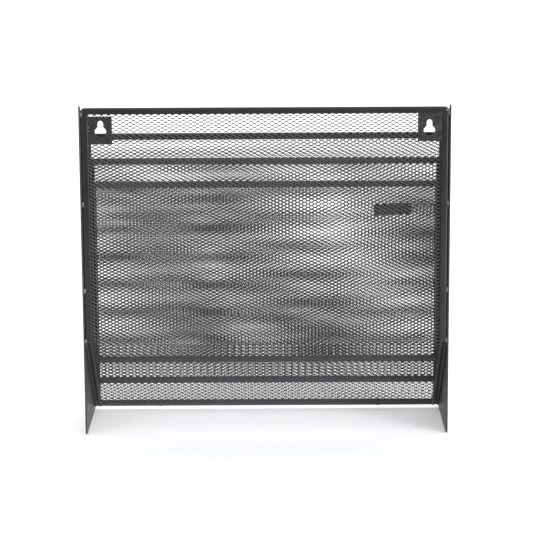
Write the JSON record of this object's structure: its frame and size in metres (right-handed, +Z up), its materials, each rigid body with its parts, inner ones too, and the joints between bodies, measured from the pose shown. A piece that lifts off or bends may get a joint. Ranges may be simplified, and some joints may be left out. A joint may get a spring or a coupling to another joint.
{
  "type": "magazine file holder",
  "caption": "Stepped mesh magazine and file holder with sloping base, plain sheet side panels and keyhole hangers, for desk or wall.",
  "frame": {"origin": "middle of the bounding box's underside: on the desk surface, half way across the width and half way along the depth of the side panels", "axes": "+X to the right as seen from the front, +Y towards the wall side (rear), +Z up"},
  "size_m": [0.3174, 0.092, 0.29],
  "materials": {
    "panel_paint": "satin black powder coat on plain sheet",
    "rim_paint": "satin black powder coat on folded strip",
    "mesh_paint": "satin black powder coat on expanded mesh",
    "hanger_paint": "satin black powder coat on flat plate",
    "badge_metal": "satin black, blank"
  },
  "bodies": {
    "root": {"side_panel_left": "panel_paint", "side_panel_right": "panel_paint", "back_top_rim": "rim_paint", "back_side_rim_left": "rim_paint", "back_side_rim_right": "rim_paint", "back_mesh": "mesh_paint", "base_side_rim_left": "rim_paint", "base_side_rim_right": "rim_paint", "base_mesh": "mesh_paint", "divider_1_top_rim": "rim_paint", "divider_1_bottom_rim": "rim_paint", "divider_1_side_rim_left": "rim_paint", "divider_1_side_rim_right": "rim_paint", "divider_1_mesh": "mesh_paint", "divider_2_top_rim": "rim_paint", "divider_2_bottom_rim": "rim_paint", "divider_2_side_rim_left": "rim_paint", "divider_2_side_rim_right": "rim_paint", "divider_2_mesh": "mesh_paint", "front_top_rim": "rim_paint", "front_bottom_rim": "rim_paint", "front_side_rim_left": "rim_paint", "front_side_rim_right": "rim_paint", "front_mesh": "mesh_paint", "hanger_plate_left": "hanger_paint", "hanger_plate_right": "hanger_paint", "badge_plate": "badge_metal", "tack_welds": "rim_paint"}
  },
  "joints": []
}
